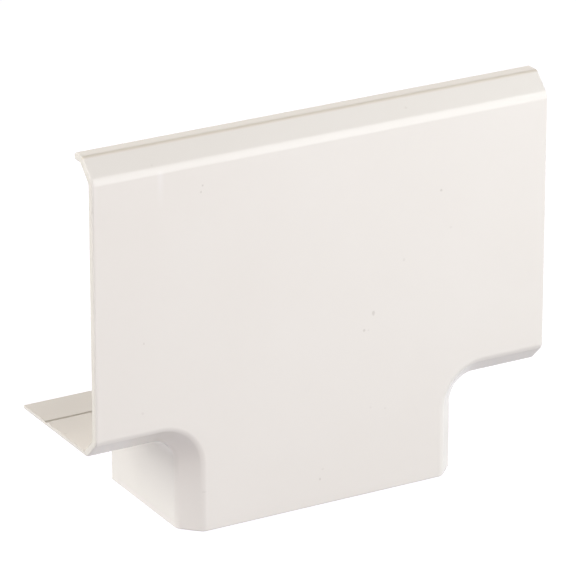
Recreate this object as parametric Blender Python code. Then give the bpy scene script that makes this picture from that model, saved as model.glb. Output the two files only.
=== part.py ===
"""Tee cover for wall trunking: one moulded shell with a wall of even thickness.

It clips over a straight run of trunking, along X, and over a second trunking that
leaves the run downwards. The wall of the room is behind it, at +Y, and its front
faces -Y. It is open at the back, at both ends of the run and at the foot of the leg.
X = 0 and Y = 0 are the middle of its footprint, and Z = 0 is the foot of the leg.
"""

import math

import bmesh
import bpy
from mathutils import Matrix, Vector

MM = 0.001

# Outside sizes
LEG_WIDTH = 84.4 * MM
WING_REACH = 26.1 * MM
LEG_REACH = 26.4 * MM
RUN_HEIGHT = 83.5 * MM
COVER_DEPTH = 42.2 * MM

# Thickness of the moulding in each of its zones
PLATE_THICKNESS = 2.1 * MM
SLOPE_THICKNESS = 1.75 * MM
WALL_THICKNESS = 1.25 * MM
STRIP_THICKNESS = 1.15 * MM

# Slopes at 45 degrees between the front and the walls, and the lip on top
LOWER_SLOPE = 5.4 * MM
UPPER_SLOPE = 5.4 * MM
LIP_LENGTH = 4.6 * MM

# Score line inside the walls, in front of the strip that can be broken off
STRIP_WIDTH = 12.4 * MM
SCORE_WIDTH = 1.1 * MM
SCORE_DEPTH = 0.5 * MM

# Radii, on the outside unless the name says inner. The lip's nose is almost a half circle.
CORNER_RADIUS = 7.0 * MM
UPPER_BEND = 3.4 * MM
CREASE_BEND = 1.5 * MM
LOWER_BEND = 2.5 * MM
WALL_BEND = 3.0 * MM
INNER_BEND = 1.2 * MM
END_ROUNDING = 0.4 * MM
NOSE_FULLNESS = 0.98

# Fineness of the round stretches
CORNER_STEPS = 14
BEND_SEGMENTS = 5
ROUNDING_SEGMENTS = 2

# Flat strip kept beside each bend, so that it shades cleanly
FLAT_MARGIN = 1.0 * MM

# Places that follow from the sizes
HALF_LEG = LEG_WIDTH / 2
HALF_RUN = HALF_LEG + WING_REACH
FRONT = -COVER_DEPTH / 2
BACK = COVER_DEPTH / 2
INSIDE = FRONT + PLATE_THICKNESS
WALL_LEVEL = LEG_REACH
FACE_LOW = WALL_LEVEL + LOWER_SLOPE
LIP_LEVEL = WALL_LEVEL + RUN_HEIGHT
FACE_HIGH = LIP_LEVEL - UPPER_SLOPE
LIP_END = FRONT + UPPER_SLOPE + LIP_LENGTH
NOSE_BEND = PLATE_THICKNESS / 2 * NOSE_FULLNESS


def clear_scene():
    for obj in list(bpy.data.objects):
        bpy.data.objects.remove(obj, do_unlink=True)


def moulded_white():
    """Glossy, slightly warm white plastic."""
    material = bpy.data.materials.new("white_plastic")
    material.use_nodes = True
    shader = material.node_tree.nodes["Principled BSDF"]
    shader.inputs["Base Color"].default_value = (0.80, 0.765, 0.735, 1.0)
    shader.inputs["Roughness"].default_value = 0.22
    shader.inputs["Metallic"].default_value = 0.0
    return material


def add_chain(bm, corners):
    """Edges from corner to corner at the run's left end, each corner (y, z, radius of its bend)."""
    verts = [bm.verts.new((-HALF_RUN, y, z)) for y, z, _ in corners]
    for pair in zip(verts, verts[1:]):
        bm.edges.new(pair)
    for index in range(1, len(corners) - 1):
        radius = corners[index][2]
        if radius:
            before = verts[index].co - Vector((-HALF_RUN, *corners[index - 1][:2]))
            after = Vector((-HALF_RUN, *corners[index + 1][:2])) - verts[index].co
            reach = radius * math.tan(before.angle(after) / 2)
            bmesh.ops.bevel(
                bm, geom=[verts[index]], offset=reach, offset_type="OFFSET",
                segments=BEND_SEGMENTS, profile=0.5, affect="VERTICES", material=-1,
            )
    return [edge for edge in bm.edges if edge.is_wire]


def pull(bm, edges, offset):
    """Sweeps the edges straight along the offset and gives the edges at the far end."""
    made = bmesh.ops.extrude_edge_only(bm, edges=edges)["geom"]
    verts = {item for item in made if isinstance(item, bmesh.types.BMVert)}
    bmesh.ops.translate(bm, verts=list(verts), vec=offset)
    swept = [item for item in made if isinstance(item, bmesh.types.BMEdge)]
    return [edge for edge in swept if verts.issuperset(edge.verts)]


def turn(bm, edges, centre, angle):
    """Sweeps the edges round an axis along Y and gives the edges at the far end."""
    verts = list({vert for edge in edges for vert in edge.verts})
    spun = bmesh.ops.spin(
        bm, geom=verts + edges, cent=centre, axis=(0, 1, 0), angle=angle, steps=CORNER_STEPS,
    )
    return [item for item in spun["geom_last"] if isinstance(item, bmesh.types.BMEdge)]


def side_wall(bm):
    """Slope and wall under the left wing, round the inner corner and down the leg."""
    slope_inside = LOWER_SLOPE + SLOPE_THICKNESS * math.sqrt(2)
    strip_start = BACK - STRIP_WIDTH
    outside = [
        (FRONT, FACE_LOW + LOWER_BEND + FLAT_MARGIN, 0),
        (FRONT, FACE_LOW, LOWER_BEND),
        (FRONT + LOWER_SLOPE, WALL_LEVEL, WALL_BEND),
        (BACK, WALL_LEVEL, 0),
    ]
    inside = [
        (BACK, WALL_LEVEL + STRIP_THICKNESS, 0),
        (strip_start, WALL_LEVEL + STRIP_THICKNESS, 0),
        (strip_start - SCORE_WIDTH / 2, WALL_LEVEL + WALL_THICKNESS - SCORE_DEPTH, 0),
        (strip_start - SCORE_WIDTH, WALL_LEVEL + WALL_THICKNESS, 0),
        (FRONT + slope_inside - WALL_THICKNESS, WALL_LEVEL + WALL_THICKNESS, 0),
        (INSIDE, WALL_LEVEL + slope_inside - PLATE_THICKNESS, INNER_BEND),
        (INSIDE, FACE_LOW + LOWER_BEND + FLAT_MARGIN, 0),
    ]
    section = add_chain(bm, outside + inside)
    corner = Vector((-HALF_LEG - CORNER_RADIUS, 0, WALL_LEVEL - CORNER_RADIUS))
    at_corner = pull(bm, section, (corner.x + HALF_RUN, 0, 0))
    at_leg = turn(bm, at_corner, corner, math.pi / 2)
    pull(bm, at_leg, (0, 0, -corner.z))


def top_edge(bm):
    """Bend, slope and lip along the top of the run."""
    slope_inside = PLATE_THICKNESS * math.sqrt(2)
    plate_end = FACE_HIGH - UPPER_BEND - FLAT_MARGIN
    section = add_chain(bm, [
        (FRONT, plate_end, 0),
        (FRONT, FACE_HIGH, UPPER_BEND),
        (FRONT + UPPER_SLOPE, LIP_LEVEL, CREASE_BEND),
        (LIP_END, LIP_LEVEL, NOSE_BEND),
        (LIP_END, LIP_LEVEL - PLATE_THICKNESS, NOSE_BEND),
        (FRONT + UPPER_SLOPE + slope_inside - PLATE_THICKNESS, LIP_LEVEL - PLATE_THICKNESS, INNER_BEND),
        (INSIDE, FACE_HIGH + PLATE_THICKNESS - slope_inside, UPPER_BEND - PLATE_THICKNESS),
        (INSIDE, plate_end, 0),
    ])
    pull(bm, section, (2 * HALF_RUN, 0, 0))


def in_plane(item, axis, place):
    return all(abs(vert.co[axis] - place) < 1e-6 for vert in item.verts)


def join_across(bm, **planes):
    """An edge between the only two open corners that lie where the planes meet."""
    axes = {"x": 0, "y": 1, "z": 2}
    ends = [
        vert for vert in bm.verts
        if len(vert.link_edges) == 2
        and all(abs(vert.co[axes[name]] - place) < 1e-6 for name, place in planes.items())
    ]
    bm.edges.new(ends)


def close_plane(bm, axis, place):
    """One flat face over the open edges that lie in a plane."""
    rim = [edge for edge in bm.edges if len(edge.link_faces) < 2 and in_plane(edge, axis, place)]
    bmesh.ops.contextual_create(bm, geom=rim)


def looks_outward(edge, middle):
    """Whether the moulding's skin beside an end's edge faces away from the channel's middle."""
    skin = min(edge.link_faces, key=lambda face: len(face.verts))
    return skin.normal.dot(edge.verts[0].co - middle) > 0.1 * MM


def round_ends(bm):
    """Rounds the outer edge of each open end."""
    run_level = WALL_LEVEL + RUN_HEIGHT / 2
    ends = [
        (0, -HALF_RUN, Vector((-HALF_RUN, BACK, run_level))),
        (0, HALF_RUN, Vector((HALF_RUN, BACK, run_level))),
        (2, 0.0, Vector((0, BACK, 0))),
    ]
    for axis, place, middle in ends:
        rim = [edge for edge in bm.edges if in_plane(edge, axis, place) and looks_outward(edge, middle)]
        bmesh.ops.bevel(
            bm, geom=rim, offset=END_ROUNDING, offset_type="OFFSET", segments=ROUNDING_SEGMENTS,
            profile=0.5, affect="EDGES", clamp_overlap=True, material=-1,
        )


def tee_cover():
    bm = bmesh.new()
    side_wall(bm)
    bmesh.ops.mirror(bm, geom=bm.verts[:] + bm.edges[:] + bm.faces[:], matrix=Matrix(), merge_dist=-1.0, axis="X")
    top_edge(bm)
    for depth in (FRONT, INSIDE):
        join_across(bm, x=-HALF_RUN, y=depth)
        join_across(bm, x=HALF_RUN, y=depth)
        join_across(bm, z=0.0, y=depth)
    close_plane(bm, 0, -HALF_RUN)
    close_plane(bm, 0, HALF_RUN)
    close_plane(bm, 2, 0.0)
    close_plane(bm, 1, FRONT)
    close_plane(bm, 1, INSIDE)
    bmesh.ops.recalc_face_normals(bm, faces=bm.faces)
    round_ends(bm)
    mesh = bpy.data.meshes.new("tee_cover")
    bm.to_mesh(mesh)
    bm.free()
    mesh.shade_smooth()
    mesh.set_sharp_from_angle(angle=math.radians(40))
    mesh.materials.append(moulded_white())
    cover = bpy.data.objects.new("tee_cover", mesh)
    bpy.context.collection.objects.link(cover)
    return cover


clear_scene()
tee_cover()
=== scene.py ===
# %% [markdown]
# A tee cover for wall trunking, in glossy white plastic
#
# This lesson dresses one moulded piece. A cover like this clips over the place where
# a second trunking leaves a straight run. It is a single shell: a flat plate, sloped
# edges, side walls at the back, and nothing that moves. Its measured model is loaded
# first, as a frame that stays where it is, and everything below is built around it.

# %% Load the frame
import math

import bmesh
import bpy
from mathutils import Matrix, Vector
from mathutils.bvhtree import BVHTree


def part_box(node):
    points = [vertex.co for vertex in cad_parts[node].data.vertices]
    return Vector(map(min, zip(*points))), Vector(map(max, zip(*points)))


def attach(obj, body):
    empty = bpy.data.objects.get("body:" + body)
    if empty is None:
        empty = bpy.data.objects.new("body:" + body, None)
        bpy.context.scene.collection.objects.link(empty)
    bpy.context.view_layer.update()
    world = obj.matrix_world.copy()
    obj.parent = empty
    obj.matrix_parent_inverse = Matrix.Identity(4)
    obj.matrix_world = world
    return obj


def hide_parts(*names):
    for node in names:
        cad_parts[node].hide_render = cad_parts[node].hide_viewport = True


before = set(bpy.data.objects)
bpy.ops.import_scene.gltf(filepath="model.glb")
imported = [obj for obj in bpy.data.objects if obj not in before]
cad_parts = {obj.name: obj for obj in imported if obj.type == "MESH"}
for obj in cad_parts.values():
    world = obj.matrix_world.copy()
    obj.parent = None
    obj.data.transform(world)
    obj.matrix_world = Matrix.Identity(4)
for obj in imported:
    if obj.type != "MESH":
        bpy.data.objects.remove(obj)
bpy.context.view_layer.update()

MM = 0.001

# %% [markdown]
# The camera
#
# The view decides which surfaces matter, so the camera comes first. The photograph
# was taken from far away, with a long lens, a little above the cover and to its left.
# A long lens keeps upright edges almost parallel. The camera is placed by two angles
# and a distance, as on a turntable, and then slid sideways a little for the framing.

# %% Camera
AZIMUTH = math.radians(-29.45)
ELEVATION = math.radians(21.91)
CAMERA_DISTANCE = 1312 * MM
LENS = 306.9
SENSOR = 36.0
AIM_HEIGHT = 55 * MM
SLIDE_RIGHT = 0.6 * MM
NEAREST_SEEN = 0.05
FURTHEST_SEEN = 50.0

away = Vector((
    math.sin(AZIMUTH) * math.cos(ELEVATION),
    -math.cos(AZIMUTH) * math.cos(ELEVATION),
    math.sin(ELEVATION),
))
camera_turn = (-away).to_track_quat("-Z", "Y")
camera_data = bpy.data.cameras.new("camera")
camera_data.lens = LENS
camera_data.sensor_width = SENSOR
camera_data.clip_start = NEAREST_SEEN
camera_data.clip_end = FURTHEST_SEEN
camera = bpy.data.objects.new("camera", camera_data)
bpy.context.collection.objects.link(camera)
camera.rotation_mode = "QUATERNION"
camera.rotation_quaternion = camera_turn
slide = camera_turn @ Vector((SLIDE_RIGHT, 0, 0))
camera.location = Vector((0, 0, AIM_HEIGHT)) + away * CAMERA_DISTANCE + slide
bpy.context.scene.camera = camera
print("camera at", [round(part, 4) for part in camera.location])

# %% [markdown]
# The sizes of the moulding
#
# The outer box is read from the frame, so the dressed shell can't drift away from
# the measured one. The rest are the sizes that a maker would put on the drawing.
# The plate is thicker than the walls, because the thin walls have to spring when
# the cover is pressed on, and a score line lets a strip of the wall be broken off.

# %% Sizes
box_low, box_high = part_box("tee_cover")
HALF_RUN = box_high.x
FRONT = box_low.y
BACK = box_high.y
LIP_LEVEL = box_high.z

HALF_LEG = 42.2 * MM
WALL_LEVEL = 26.4 * MM
PLATE_THICKNESS = 2.1 * MM
SLOPE_THICKNESS = 1.75 * MM
WALL_THICKNESS = 1.25 * MM
STRIP_THICKNESS = 1.15 * MM
LOWER_SLOPE = 5.4 * MM
UPPER_SLOPE = 5.4 * MM
LIP_LENGTH = 4.6 * MM
STRIP_WIDTH = 12.4 * MM
SCORE_WIDTH = 1.1 * MM
SCORE_DEPTH = 0.5 * MM

INSIDE = FRONT + PLATE_THICKNESS
FACE_LOW = WALL_LEVEL + LOWER_SLOPE
FACE_HIGH = LIP_LEVEL - UPPER_SLOPE
LIP_END = FRONT + UPPER_SLOPE + LIP_LENGTH
print("run is", round((LIP_LEVEL - WALL_LEVEL) / MM, 2), "mm high")

# %% [markdown]
# Every bend has its own radius
#
# Light reads a moulding by its radii. The bend below the top slope is wide and draws
# one long bright line, while the crease above it is tight and draws a thin dark one.
# The corner between wing and leg is the widest. Edges that look sharp are rounded too,
# by a fraction of a millimetre, because no moulding has a knife edge.

# %% Radii
CORNER_RADIUS = 7.0 * MM
UPPER_BEND = 3.4 * MM
CREASE_BEND = 1.5 * MM
LOWER_BEND = 2.5 * MM
WALL_BEND = 3.0 * MM
INNER_BEND = 1.2 * MM
SCORE_BEND = 0.2 * MM
NOSE_FULLNESS = 0.98
NOSE_BEND = PLATE_THICKNESS / 2 * NOSE_FULLNESS

END_ROUNDING = 0.5 * MM
BACK_ROUNDING = 0.2 * MM
RIM_ROUNDING = 0.12 * MM
print("widest radius in mm:", round(CORNER_RADIUS / MM, 2), "finest:", round(RIM_ROUNDING / MM, 2))

# %% [markdown]
# Drawing a section
#
# The wall of the shell has the same section everywhere, so it is drawn once and then
# swept. Typing the points of each arc would hide the design. Instead the section
# starts as a wire with sharp corners, and each corner is bevelled to its own radius.
# A vertex bevel on a wire gives just that: an arc that meets both straight lines.
# A wide turn gets more steps than a slight one, so that all arcs are equally fine.

# %% Section helper
ARC_STEP = math.radians(4)
FEWEST_STEPS = 3


def draw_section(bm, corners):
    """A wire at the run's left end. Each corner is its depth, its height and its radius."""
    points = [Vector((-HALF_RUN, depth, height)) for depth, height, _ in corners]
    verts = [bm.verts.new(point) for point in points]
    for pair in zip(verts, verts[1:]):
        bm.edges.new(pair)
    for index in range(1, len(corners) - 1):
        radius = corners[index][2]
        if radius:
            before = points[index] - points[index - 1]
            after = points[index + 1] - points[index]
            bend = before.angle(after)
            bmesh.ops.bevel(
                bm, geom=[verts[index]], offset=radius * math.tan(bend / 2), offset_type="OFFSET",
                segments=max(FEWEST_STEPS, round(bend / ARC_STEP)), profile=0.5,
                affect="VERTICES", material=-1,
            )
    return [edge for edge in bm.edges if edge.is_wire]


# %% [markdown]
# Two ways to sweep
#
# A straight stretch is an extrusion that is moved along. A corner is a spin: the same
# edges turn about a line from front to back, step by step, and leave faces behind.
# Both helpers give back the edges at their far end, so one sweep starts where the last
# one stopped and the shell grows without seams.

# %% Sweep helpers
CORNER_STEPS = 48


def pull(bm, edges, offset):
    """Sweeps the edges straight along the offset."""
    made = bmesh.ops.extrude_edge_only(bm, edges=edges)["geom"]
    verts = {item for item in made if isinstance(item, bmesh.types.BMVert)}
    bmesh.ops.translate(bm, verts=list(verts), vec=offset)
    swept = [item for item in made if isinstance(item, bmesh.types.BMEdge)]
    return [edge for edge in swept if verts.issuperset(edge.verts)]


def turn(bm, edges, centre, angle):
    """Sweeps the edges round an axis that runs from front to back."""
    verts = list({vert for edge in edges for vert in edge.verts})
    spun = bmesh.ops.spin(
        bm, geom=verts + edges, cent=centre, axis=(0, 1, 0), angle=angle, steps=CORNER_STEPS,
    )
    return [item for item in spun["geom_last"] if isinstance(item, bmesh.types.BMEdge)]


# %% [markdown]
# The slope and the wall
#
# Under each wing the front bends into a slope at 45 degrees and then into a wall that
# goes straight back to the wall of the room. The same shape turns the inner corner
# and runs down the leg. Inside, a groove marks where the rear strip can be snapped off.
# One side is swept, and a mirror makes the other, because the tee is symmetric.

# %% Side wall
FLAT_MARGIN = 1.0 * MM


def side_wall(bm):
    """Slope and wall of the left wing, round the inner corner and down the leg."""
    slope_inside = LOWER_SLOPE + SLOPE_THICKNESS * math.sqrt(2)
    strip_start = BACK - STRIP_WIDTH
    inner_level = WALL_LEVEL + WALL_THICKNESS
    strip_level = WALL_LEVEL + STRIP_THICKNESS
    margin = FACE_LOW + LOWER_BEND + FLAT_MARGIN
    section = draw_section(bm, [
        (FRONT, margin, 0),
        (FRONT, FACE_LOW, LOWER_BEND),
        (FRONT + LOWER_SLOPE, WALL_LEVEL, WALL_BEND),
        (BACK, WALL_LEVEL, 0),
        (BACK, strip_level, 0),
        (strip_start, strip_level, SCORE_BEND),
        (strip_start - SCORE_WIDTH / 2, inner_level - SCORE_DEPTH, SCORE_BEND / 2),
        (strip_start - SCORE_WIDTH, inner_level, SCORE_BEND),
        (FRONT + slope_inside - WALL_THICKNESS, inner_level, 0),
        (INSIDE, WALL_LEVEL + slope_inside - PLATE_THICKNESS, INNER_BEND),
        (INSIDE, margin, 0),
    ])
    centre = Vector((-HALF_LEG - CORNER_RADIUS, 0, WALL_LEVEL - CORNER_RADIUS))
    at_corner = pull(bm, section, (centre.x + HALF_RUN, 0, 0))
    at_leg = turn(bm, at_corner, centre, math.pi / 2)
    pull(bm, at_leg, (0, 0, -centre.z))
    print("section has", len(section), "edges")


# %% [markdown]
# The top edge
#
# Along the top the plate bends back twice and ends in a short lip with a round nose.
# It is one straight extrusion over the whole run. The nose is two corners whose radius
# is just short of half the thickness, so together they make nearly a half circle.

# %% Top edge
def top_edge(bm):
    """Bend, slope and lip along the whole run."""
    slope_inside = PLATE_THICKNESS * math.sqrt(2)
    margin = FACE_HIGH - UPPER_BEND - FLAT_MARGIN
    under_lip = LIP_LEVEL - PLATE_THICKNESS
    inner_crease = FRONT + UPPER_SLOPE + slope_inside - PLATE_THICKNESS
    section = draw_section(bm, [
        (FRONT, margin, 0),
        (FRONT, FACE_HIGH, UPPER_BEND),
        (FRONT + UPPER_SLOPE, LIP_LEVEL, CREASE_BEND),
        (LIP_END, LIP_LEVEL, NOSE_BEND),
        (LIP_END, under_lip, NOSE_BEND),
        (inner_crease, under_lip, 0),
        (INSIDE, FACE_HIGH + PLATE_THICKNESS - slope_inside, UPPER_BEND - PLATE_THICKNESS),
        (INSIDE, margin, 0),
    ])
    pull(bm, section, (2 * HALF_RUN, 0, 0))
    print("top section has", len(section), "edges")


# %% [markdown]
# Closing the shell
#
# The sweeps leave the flat parts open: the front, the inside of the plate and the three
# ends. Their rims all lie in a plane. Where a rim still has a gap, at the ends of the
# plate, one edge joins the two loose corners. Then each plane is filled with one face,
# and because that face is truly flat, its reflections stay calm.

# %% Closing helpers
TOUCHING = 0.001 * MM


def in_plane(edge, axis, place):
    """Whether an edge lies in the plane at this place on the axis."""
    return all(abs(vert.co[axis] - place) < TOUCHING for vert in edge.verts)


def join_across(bm, **planes):
    """An edge between the two loose corners that lie where the planes meet."""
    axes = {"x": 0, "y": 1, "z": 2}
    ends = [
        vert for vert in bm.verts
        if len(vert.link_edges) == 2
        and all(abs(vert.co[axes[name]] - place) < TOUCHING for name, place in planes.items())
    ]
    bm.edges.new(ends)


def close_plane(bm, axis, place):
    """One flat face over the open edges that lie in a plane."""
    rim = [edge for edge in bm.edges if len(edge.link_faces) < 2 and in_plane(edge, axis, place)]
    bmesh.ops.contextual_create(bm, geom=rim)


# %% [markdown]
# Which edges get which rounding
#
# A bevel can follow weights: an edge of weight 1 gets the full width and others a share
# of it. The outer edge of each open end is the softest, because it is handled and seen.
# The rear edges of the walls are crisper, and the inner rims only lose their knife edge.
# The skin beside a rim tells which is which: outside, it faces away from the channel.

# %% Edge weights
OUTWARD = 0.1 * MM
SHARP_EDGE = math.radians(30)


def looks_outward(edge, middle):
    """Whether the skin beside an end's edge faces away from the channel's middle."""
    skin = min(edge.link_faces, key=lambda face: len(face.verts))
    return skin.normal.dot(edge.verts[0].co - middle) > OUTWARD


def in_lip(edge):
    """Whether an edge is part of the lip and its round nose."""
    return all(vert.co.z > LIP_LEVEL - PLATE_THICKNESS - TOUCHING for vert in edge.verts)


def weigh_edges(bm):
    """Gives each sharp edge its share of the widest rounding."""
    weight = bm.edges.layers.float.new("bevel_weight_edge")
    under_lip = LIP_LEVEL - PLATE_THICKNESS
    for edge in bm.edges:
        if in_plane(edge, 1, BACK):
            edge[weight] = BACK_ROUNDING / END_ROUNDING
        elif in_plane(edge, 2, under_lip) and edge.calc_face_angle() > SHARP_EDGE:
            edge[weight] = 1.0
    run_middle = (WALL_LEVEL + LIP_LEVEL) / 2
    ends = [
        (0, -HALF_RUN, Vector((-HALF_RUN, BACK, run_middle))),
        (0, HALF_RUN, Vector((HALF_RUN, BACK, run_middle))),
        (2, 0.0, Vector((0, BACK, 0))),
    ]
    for axis, place, middle in ends:
        for edge in bm.edges:
            if in_plane(edge, axis, place) and not in_plane(edge, 1, BACK):
                outer = looks_outward(edge, middle) or in_lip(edge)
                edge[weight] = 1.0 if outer else RIM_ROUNDING / END_ROUNDING
    print("edges that get a rounding:", sum(edge[weight] > 0 for edge in bm.edges))


# %% [markdown]
# The shell itself
#
# Now the steps come together: sweep one side, mirror it, add the top edge, close the
# planes. The bevel stays a modifier, since it follows the weights. Weighted normals
# come after it. They let the big flat faces decide the shading at their borders, so
# that no bend bleeds a false gradient into the flat plate beside it.

# %% Build the shell
ROUNDING_STEPS = 5
STRONGEST_WEIGHT = 100


def tee_shell():
    bm = bmesh.new()
    side_wall(bm)
    everything = bm.verts[:] + bm.edges[:] + bm.faces[:]
    bmesh.ops.mirror(bm, geom=everything, matrix=Matrix(), merge_dist=-1.0, axis="X")
    top_edge(bm)
    for depth in (FRONT, INSIDE):
        join_across(bm, x=-HALF_RUN, y=depth)
        join_across(bm, x=HALF_RUN, y=depth)
        join_across(bm, z=0.0, y=depth)
    close_plane(bm, 0, -HALF_RUN)
    close_plane(bm, 0, HALF_RUN)
    close_plane(bm, 2, 0.0)
    close_plane(bm, 1, FRONT)
    close_plane(bm, 1, INSIDE)
    bmesh.ops.recalc_face_normals(bm, faces=bm.faces)
    weigh_edges(bm)
    mesh = bpy.data.meshes.new("tee_shell")
    bm.to_mesh(mesh)
    bm.free()
    mesh.shade_smooth()
    cover = bpy.data.objects.new("tee_shell", mesh)
    bpy.context.collection.objects.link(cover)
    return cover


shell = tee_shell()
rounding = shell.modifiers.new("edge_rounding", "BEVEL")
rounding.limit_method = "WEIGHT"
rounding.width = END_ROUNDING
rounding.segments = ROUNDING_STEPS
rounding.profile = 0.5
rounding.use_clamp_overlap = False
calm = shell.modifiers.new("calm_flats", "WEIGHTED_NORMAL")
calm.mode = "FACE_AREA"
calm.weight = STRONGEST_WEIGHT
calm.keep_sharp = True
print("shell faces before rounding:", len(shell.data.polygons))

# %% [markdown]
# Does it fit the frame?
#
# A dressed piece has to lie where the measured one is. The test is simple: take every
# corner of the finished shell and look for the nearest point of the measured surface.
# The largest gap should be about a tenth of a millimetre, where the two are rounded
# differently. A closed shell has two faces at each edge, so no edge may count as open.

# %% Measure the shell
CUBIC_CM = (10 * MM) ** 3


def measure(piece, node):
    """Prints how far the finished piece strays from a node, and whether it is closed."""
    graph = bpy.context.evaluated_depsgraph_get()
    finished = piece.evaluated_get(graph)
    bm = bmesh.new()
    bm.from_mesh(finished.to_mesh())
    finished.to_mesh_clear()
    surface = BVHTree.FromObject(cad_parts[node], graph)
    strays = [surface.find_nearest(vert.co)[3] for vert in bm.verts]
    open_edges = [edge for edge in bm.edges if len(edge.link_faces) != 2]
    print("corners", len(bm.verts), "faces", len(bm.faces), "open edges", len(open_edges))
    print("furthest from the frame in mm:", round(max(strays) / MM, 3))
    print("volume in cubic cm:", round(bm.calc_volume() / CUBIC_CM, 3))
    bm.free()


measure(shell, "tee_cover")

# %% [markdown]
# Writing shader maths as Python
#
# A material is a net of small nodes, and sums made of nodes are hard to read. So one
# class wraps a socket and teaches Python's own signs to add Math nodes. Then `1 - mask`
# is a node too. Everything that isn't plain maths comes from one method, which takes
# the kind of node, its settings and what goes into its sockets.

# %% Signal class
class Signal:
    """A node's output, ready for sums with numbers and other signals."""

    def __init__(self, socket):
        self.socket = socket
        self.tree = socket.id_data

    def node(self, kind, settings=None, inputs=None, output=0):
        return add_node(self.tree, kind, settings, inputs, output)

    def maths(self, operation, *values):
        return self.node("ShaderNodeMath", {"operation": operation}, dict(enumerate(values)))

    def __add__(self, other):
        return self.maths("ADD", self, other)

    def __sub__(self, other):
        return self.maths("SUBTRACT", self, other)

    def __rsub__(self, other):
        return self.maths("SUBTRACT", other, self)

    def __mul__(self, other):
        return self.maths("MULTIPLY", self, other)

    def __truediv__(self, other):
        return self.maths("DIVIDE", self, other)

    def __pow__(self, other):
        return self.maths("POWER", self, other)

    def __abs__(self):
        return self.maths("ABSOLUTE", self)

    def at_least(self, other):
        return self.maths("MAXIMUM", self, other)

    def clamped(self):
        return self.node("ShaderNodeClamp", None, {"Value": self})

    __radd__ = __add__
    __rmul__ = __mul__


def add_node(tree, kind, settings=None, inputs=None, output=0):
    """Adds a node, sets it up, feeds its sockets and gives the wanted output."""
    node = tree.nodes.new(kind)
    for name, value in (settings or {}).items():
        setattr(node, name, value)
    for name, value in (inputs or {}).items():
        if isinstance(value, Signal):
            tree.links.new(value.socket, node.inputs[name])
        else:
            node.inputs[name].default_value = value
    return Signal(node.outputs[output])


# %% [markdown]
# Clouds and layers
#
# Two helpers carry the whole plastic. A noise gives soft clouds, measured in clouds to a
# metre, so a larger number means finer ones. A blend lays one colour over another where
# a mask is 1. It is a Mix node, because a Math node would turn a colour grey.

# %% Noise and blend helpers
def noise(start, scale, detail):
    """A cloudy value from 0 to 1, with this many clouds to a metre."""
    return start.node(
        "ShaderNodeTexNoise", {"noise_dimensions": "3D"},
        {"Vector": start, "Scale": scale, "Detail": detail},
    )


def blend(factor, first, second):
    """One colour, with another laid over it where the factor is 1."""
    inputs = {"Factor": factor, "A": first, "B": second}
    return factor.node("ShaderNodeMix", {"data_type": "RGBA"}, inputs, output="Result")


# %% [markdown]
# Specks of dirt
#
# The cover has been handled: a few small specks lie on its front, on its top slope and
# at its left end, most of them finer than a pinhead. Each one is a place on the moulding
# in millimetres, half its width and half its height. The mask is the distance from that
# place, made uneven by a fine noise, so a speck has a ragged rim and isn't a drawn dot.

# %% Specks
DARK_SPECKS = [
    ("below the bright line, left", (-36.4, -21.1, 98.0), (0.25, 0.25)),
    ("its neighbour", (-36.9, -21.1, 96.3), (0.22, 0.32)),
    ("below the bright line, right", (35.4, -21.1, 83.3), (0.32, 0.32)),
    ("middle of the front", (14.8, -21.1, 52.3), (0.40, 0.60)),
    ("under it", (12.0, -21.1, 47.9), (0.35, 0.35)),
    ("low on the leg", (-1.4, -21.1, 7.6), (0.25, 0.30)),
    ("left wing, middle", (-54.0, -21.1, 57.5), (0.15, 0.30)),
    ("inner corner at the left end", (-68.1, -13.6, 27.6), (0.35, 0.35)),
]
FAINT_SPECKS = [
    ("dash beside the leg's corner", (-36.6, -21.1, 11.6), (0.60, 0.20)),
    ("top slope, left", (-50.5, -19.9, 105.7), (0.25, 0.25)),
    ("left end of the plate", (-68.3, -20.9, 96.4), (0.25, 0.45)),
    ("right wing, middle", (38.5, -21.1, 72.2), (0.30, 0.25)),
    ("beside the one under the middle", (13.3, -21.1, 47.7), (0.25, 0.25)),
    ("right of the middle", (24.1, -21.1, 65.7), (0.35, 0.40)),
    ("over the leg", (14.1, -21.1, 25.2), (0.30, 0.25)),
    ("over the leg, right", (18.6, -21.1, 24.0), (0.30, 0.25)),
    ("low on the leg, second", (-0.6, -21.1, 10.4), (0.35, 0.25)),
    ("left wing, low", (-54.6, -21.1, 38.0), (0.35, 0.35)),
    ("top slope, right", (25.9, -18.3, 107.3), (0.35, 0.35)),
    ("left end of the plate, low", (-68.3, -19.9, 53.0), (0.25, 0.40)),
    ("dash on the left wing's wall", (-67.4, -1.5, 27.7), (0.45, 0.25)),
]
SPECK_REACH = 1.4
SPECK_CRISPNESS = 1.6


def speck_mask(place, ragged, specks):
    """1 inside the specks and 0 outside."""
    mask = None
    for _, centre, (wide, tall) in specks:
        middle = Vector(centre) * MM
        size = Vector((wide, max(wide, tall), tall)) * MM
        away = place.node("ShaderNodeVectorMath", {"operation": "SUBTRACT"}, {0: place, 1: middle})
        scaled = away.node("ShaderNodeVectorMath", {"operation": "DIVIDE"}, {0: away, 1: size})
        distance = scaled.node("ShaderNodeVectorMath", {"operation": "LENGTH"}, {0: scaled}, "Value")
        spot = ((SPECK_REACH - distance + ragged) * SPECK_CRISPNESS).clamped()
        mask = spot if mask is None else mask.at_least(spot)
    return mask


print("dark specks:", len(DARK_SPECKS), "faint specks:", len(FAINT_SPECKS))
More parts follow.
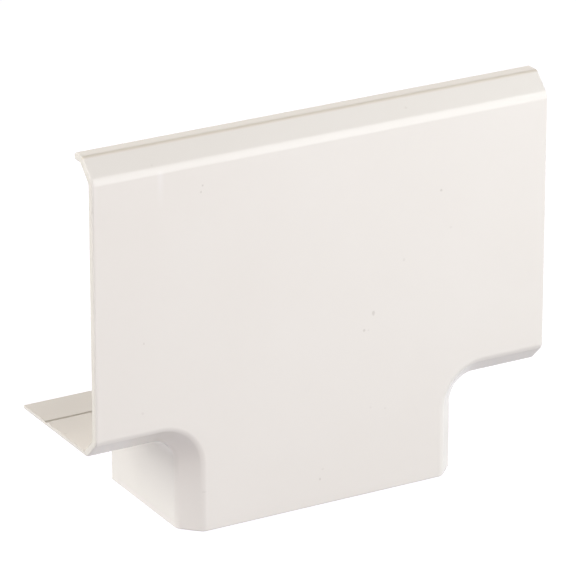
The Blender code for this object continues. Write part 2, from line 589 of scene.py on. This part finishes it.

# %% [markdown]
# A pale streak and the run's end faces
#
# Two places differ in tone from the rest of the skin. A short pale streak lies on the
# front of the left wing, fading downwards. The two end faces of the run are duller and
# creamier than the moulded skin. Both masks are distances on the piece, so
# they need no picture and stay in place from every side.

# %% Masks of the streak and the end faces
STREAK_PLACE = -48.7 * MM
STREAK_WIDTH = 1.3 * MM
STREAK_TOP = 102.5 * MM
STREAK_LENGTH = 9.0 * MM
SKIN = 0.3 * MM
END_FACE_START = 0.1 * MM
END_FACE_FADE = 0.08 * MM


def streak_mask(across, depth, height):
    """1 along the middle of the pale streak, fading sideways and downwards."""
    side = (1.0 - abs(across - STREAK_PLACE) / STREAK_WIDTH).clamped()
    down = (1.0 - (STREAK_TOP - height) / STREAK_LENGTH).clamped()
    on_front = (1.0 - (depth - FRONT) / SKIN).clamped()
    return side * down * on_front


def end_face_mask(across):
    """1 on the flat of the run's two end faces, and 0 on their rounded edges."""
    return ((abs(across) - HALF_RUN + END_FACE_START) / END_FACE_FADE).clamped()


print("streak is", round(STREAK_LENGTH / MM, 1), "mm long")

# %% [markdown]
# Dust and painted shade in the score line, painted shade along the crease
#
# Two more places are darker and browner. The score line holds dust and painted shade for
# its recess, and a thin brown line of painted shade lies along the crease at the top. The
# score line turns with the wall, so its mask can't be a flat box. It asks how deep a point
# lies below the outer skin, and at the corner that is a distance from the corner's centre, less its
# radius.

# %% Masks of dust and painted shade
DUST_AND_SHADE_START = 0.5 * MM
DUST_AND_SHADE_FADE = 0.2 * MM
DUST_AND_SHADE_REACH = 1.5
CREASE_SHADE_WIDTH = 0.5 * MM
CREASE_SHADE_REACH = 1.3
CREASE_SHADE_DEPTH = 1.0 * MM


# The score line's mask carries dust and painted shade for its recess.
def dust_and_shade_mask(across, depth, height):
    """1 at the bottom of the score line, in the wings, round the corners and down the leg."""
    groove = BACK - STRIP_WIDTH - SCORE_WIDTH / 2
    towards_leg = (HALF_LEG + CORNER_RADIUS - abs(across)).at_least(0.0)
    towards_run = (height - WALL_LEVEL + CORNER_RADIUS).at_least(0.0)
    below_skin = (towards_leg ** 2 + towards_run ** 2) ** 0.5 - CORNER_RADIUS
    inside = ((below_skin - DUST_AND_SHADE_START) / DUST_AND_SHADE_FADE).clamped()
    line = (DUST_AND_SHADE_REACH - abs(depth - groove) / (SCORE_WIDTH / 2)).clamped()
    return inside * line


# Painted shade: a thin dark brown line along the crease.
def crease_shade_mask(depth, height):
    """1 along the crease between the top slope and the lip, on the outside only."""
    line = (CREASE_SHADE_REACH - abs(depth - FRONT - UPPER_SLOPE) / CREASE_SHADE_WIDTH).clamped()
    outside = ((height - LIP_LEVEL + CREASE_SHADE_DEPTH) / CREASE_SHADE_WIDTH).clamped()
    return line * outside


print("score line lies", round(STRIP_WIDTH / MM, 1), "mm from the back")

# %% [markdown]
# The plastic
#
# Close up, moulded plastic is never one flat colour. Its white drifts a little between
# cooler and creamier, the gloss varies where the melt flowed, and the skin has a faint
# ripple. Each of these is a noise in object coordinates, so it sticks to the piece, and
# each is kept weak: the surface should still read as one clean, glossy white. The marks
# from the cells above lie on it in the order in which they came, the dirt last.

# %% Plastic material
WHITE = (0.835, 0.80, 0.75, 1.0)
CREAM = (0.81, 0.77, 0.715, 1.0)
PALE = (0.85, 0.815, 0.775, 1.0)
END_TONE = (0.70, 0.66, 0.595, 1.0)
# This brown is dust and painted shade in the score line, and painted shade along the crease.
DUST_AND_SHADE_BROWN = (0.64, 0.50, 0.31, 1.0)
DIRT = (0.30, 0.25, 0.20, 1.0)
DUST_AND_SHADE_SHARE = 0.15
CREASE_SHADE_SHARE = 0.30
DARK_SHARE = 0.23
FAINT_SHARE = 0.09
DRIFT_CLOUDS = 28
RAGGED_CLOUDS = 2600
FLOW_CLOUDS = 160
RIPPLE_CLOUDS = 420
GLOSS_ROUGHNESS = 0.12
GLOSS_RANGE = 0.04
RIPPLE_STRENGTH = 0.02
RIPPLE_HEIGHT = 0.2 * MM
PLASTIC_IOR = 1.5


def white_plastic():
    material = bpy.data.materials.new("glossy_white_plastic")
    material.use_nodes = True
    tree = material.node_tree
    shader = tree.nodes["Principled BSDF"]
    place = add_node(tree, "ShaderNodeTexCoord", output="Object")
    colour = blend(noise(place, DRIFT_CLOUDS, 3), WHITE, CREAM)
    axes = [place.node("ShaderNodeSeparateXYZ", None, {0: place}, axis) for axis in "XYZ"]
    across, depth, height = axes
    colour = blend(streak_mask(across, depth, height), colour, PALE)
    # The run's two end faces are duller and creamier than the skin.
    colour = blend(end_face_mask(across), colour, END_TONE)
    # Dust and painted shade in the score line.
    colour = blend(dust_and_shade_mask(across, depth, height) * DUST_AND_SHADE_SHARE, colour, DUST_AND_SHADE_BROWN)
    # Painted shade along the crease.
    colour = blend(crease_shade_mask(depth, height) * CREASE_SHADE_SHARE, colour, DUST_AND_SHADE_BROWN)
    ragged = noise(place, RAGGED_CLOUDS, 2) - 0.5
    dark = speck_mask(place, ragged, DARK_SPECKS) * DARK_SHARE
    faint = speck_mask(place, ragged, FAINT_SPECKS) * FAINT_SHARE
    colour = blend(dark + faint, colour, DIRT)
    flow = noise(place, FLOW_CLOUDS, 4)
    roughness = GLOSS_ROUGHNESS - GLOSS_RANGE / 2 + flow * GLOSS_RANGE
    ripple = noise(place, RIPPLE_CLOUDS, 2)
    bump = place.node(
        "ShaderNodeBump", None,
        {"Strength": RIPPLE_STRENGTH, "Distance": RIPPLE_HEIGHT, "Height": ripple},
    )
    tree.links.new(colour.socket, shader.inputs["Base Color"])
    tree.links.new(roughness.socket, shader.inputs["Roughness"])
    tree.links.new(bump.socket, shader.inputs["Normal"])
    shader.inputs["IOR"].default_value = PLASTIC_IOR
    print("the plastic has", len(tree.nodes), "nodes")
    return material


shell.data.materials.append(white_plastic())

# %% [markdown]
# White for the camera only
#
# The photograph's ground is pure white, but a floor that is bright enough to be white
# would throw too much light up under the wings. A Light Path node tells what kind of ray
# arrives, so a surface can show the camera one thing and give the light that bounces
# about another. Transmitted rays see what the camera sees, and mirrored ones a share.

# %% Light path helper
PURE_WHITE = (1.0, 1.0, 1.0, 1.0)


def seen_directly(tree, mirrored_share):
    """1 for rays from the camera and transmitted ones, a share for mirrored ones."""
    rays = tree.nodes.new("ShaderNodeLightPath")
    seen = Signal(rays.outputs["Is Camera Ray"]) + Signal(rays.outputs["Is Transmission Ray"])
    seen = seen + mirrored_share * Signal(rays.outputs["Is Glossy Ray"])
    return seen.clamped()


# %% [markdown]
# The floor
#
# To the camera the floor is white, mostly by its own glow, and it still takes the cover's
# soft shadow. Further out, where the lamps hardly reach, plain white takes over. To the
# light that bounces about, the floor is a duller grey with a touch of lilac. Mirrored rays
# see nearly the same as the camera, since the slopes' gloss shows the white ground that
# they look down on.

# %% Floor
FLOOR_RADIUS = 6.0
FLOOR_SIDES = 64
FLOOR_GREY = (0.36, 0.35, 0.375, 1.0)
FLOOR_WHITE = (0.45, 0.45, 0.45, 1.0)
FLOOR_GLOW = 0.72
GLOW_TINT = (1.02, 1.0, 1.05, 1.0)
MIRRORED_FLOOR = 0.9
FADE_START = 250 * MM
FADE_LENGTH = 250 * MM


def floor_paint():
    material = bpy.data.materials.new("studio_floor")
    material.use_nodes = True
    tree = material.node_tree
    tree.nodes.clear()
    grey = add_node(tree, "ShaderNodeBsdfDiffuse", None, {"Color": FLOOR_GREY})
    white = add_node(tree, "ShaderNodeBsdfDiffuse", None, {"Color": FLOOR_WHITE})
    glow = add_node(tree, "ShaderNodeEmission", None, {"Color": GLOW_TINT, "Strength": FLOOR_GLOW})
    lit = white.node("ShaderNodeAddShader", None, {0: white, 1: glow})
    seen = seen_directly(tree, MIRRORED_FLOOR)
    near = lit.node("ShaderNodeMixShader", None, {0: seen, 1: grey, 2: lit})
    plain = add_node(tree, "ShaderNodeEmission", None, {"Color": PURE_WHITE, "Strength": 1.0})
    place = add_node(tree, "ShaderNodeTexCoord", output="Object")
    distance = place.node("ShaderNodeVectorMath", {"operation": "LENGTH"}, {0: place}, "Value")
    far = ((distance - FADE_START) / FADE_LENGTH).clamped()
    paint = near.node("ShaderNodeMixShader", None, {0: seen * far, 1: near, 2: plain})
    output = tree.nodes.new("ShaderNodeOutputMaterial")
    tree.links.new(paint.socket, output.inputs["Surface"])
    return material


def studio_floor():
    bm = bmesh.new()
    bmesh.ops.create_circle(bm, cap_ends=True, segments=FLOOR_SIDES, radius=FLOOR_RADIUS)
    mesh = bpy.data.meshes.new("studio_floor")
    bm.to_mesh(mesh)
    bm.free()
    mesh.materials.append(floor_paint())
    floor = bpy.data.objects.new("studio_floor", mesh)
    bpy.context.collection.objects.link(floor)
    print("floor is", 2 * FLOOR_RADIUS, "metres across")


studio_floor()

# %% [markdown]
# The room
#
# Past the floor's rim, in a low view, the camera sees the room, so that is white too. As a
# light the room is dim, and mirrored rays see it about twice as bright, which is still
# little. A bright room would fill every shadow and wipe out the dark line at the crease.

# %% Room
ROOM_LIGHT = 0.08
MIRRORED_ROOM = 0.08


def room():
    world = bpy.data.worlds.new("room")
    bpy.context.scene.world = world
    world.use_nodes = True
    tree = world.node_tree
    tree.nodes.clear()
    dim = add_node(tree, "ShaderNodeBackground", None, {"Color": PURE_WHITE, "Strength": ROOM_LIGHT})
    white = add_node(tree, "ShaderNodeBackground", None, {"Color": PURE_WHITE, "Strength": 1.0})
    seen = seen_directly(tree, MIRRORED_ROOM)
    both = dim.node("ShaderNodeMixShader", None, {0: seen, 1: dim, 2: white})
    output = tree.nodes.new("ShaderNodeOutputWorld")
    tree.links.new(both.socket, output.inputs["Surface"])
    print("room light:", ROOM_LIGHT)


room()

# %% [markdown]
# The studio light
#
# Large soft boxes shape the piece. The key box stands in front on the right: the wide
# bend mirrors it as its bright line, and its nearness makes the front brighter towards
# that side. Three boxes on the left stand further back than the front plate, so they
# light the leg's side and the cut ends, and hardly the slopes. The others fill from low
# in front, from high in front and from behind. Straight above it stays dark, and that is
# what draws the thin dark line along the crease.

# %% Lights
COOL = (0.96, 1.01, 1.03)
FRESH = (0.965, 1.01, 1.01)
LILAC = (1.04, 0.965, 0.995)
MILD = (1.06, 0.98, 0.945)
WARM = (1.10, 0.99, 0.90)
AIM = Vector((0, 0, AIM_HEIGHT))


def soft_box(name, place, width, height, radiance, tint):
    """A rectangular light that faces the cover. Radiance 1 looks as bright as white paper."""
    light = bpy.data.lights.new(name, "AREA")
    light.shape = "RECTANGLE"
    light.size = width
    light.size_y = height
    light.energy = radiance * math.pi * width * height
    light.color = tint
    lamp = bpy.data.objects.new(name, light)
    bpy.context.collection.objects.link(lamp)
    lamp.location = place
    lamp.rotation_mode = "QUATERNION"
    lamp.rotation_quaternion = (AIM - Vector(place)).to_track_quat("-Z", "Y")
    lamp.visible_camera = False
    print(name, "power in watts:", round(light.energy, 2))


soft_box("key_box", (0.455, -0.478, 0.30), 0.86, 0.66, 2.68, COOL)
soft_box("low_front_box", (-0.25, -0.80, 0.08), 0.9, 0.15, 3.5, LILAC)
soft_box("left_front_box", (-0.75, -0.40, 0.08), 0.4, 0.2, 3.4, LILAC)
soft_box("left_low_box", (-0.72, 0.25, 0.15), 0.7, 0.28, 2.95, FRESH)
soft_box("left_middle_box", (-0.68, 0.25, 0.42), 0.7, 0.4, 3.2, FRESH)
soft_box("left_rear_box", (-0.60, 0.45, 0.40), 0.5, 0.4, 1.5, WARM)
soft_box("back_box", (0.35, 1.0, 0.40), 2.0, 0.8, 1.15, WARM)
soft_box("high_front_box", (0.05, -0.5, 0.8), 0.5, 0.5, 2.05, MILD)

# %% [markdown]
# Putting the shell in place
#
# The shell stands in for the measured node and rides on the only body there is.

# %% Finish
bpy.context.scene.view_settings.view_transform = "Standard"
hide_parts("tee_cover")
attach(shell, "root")
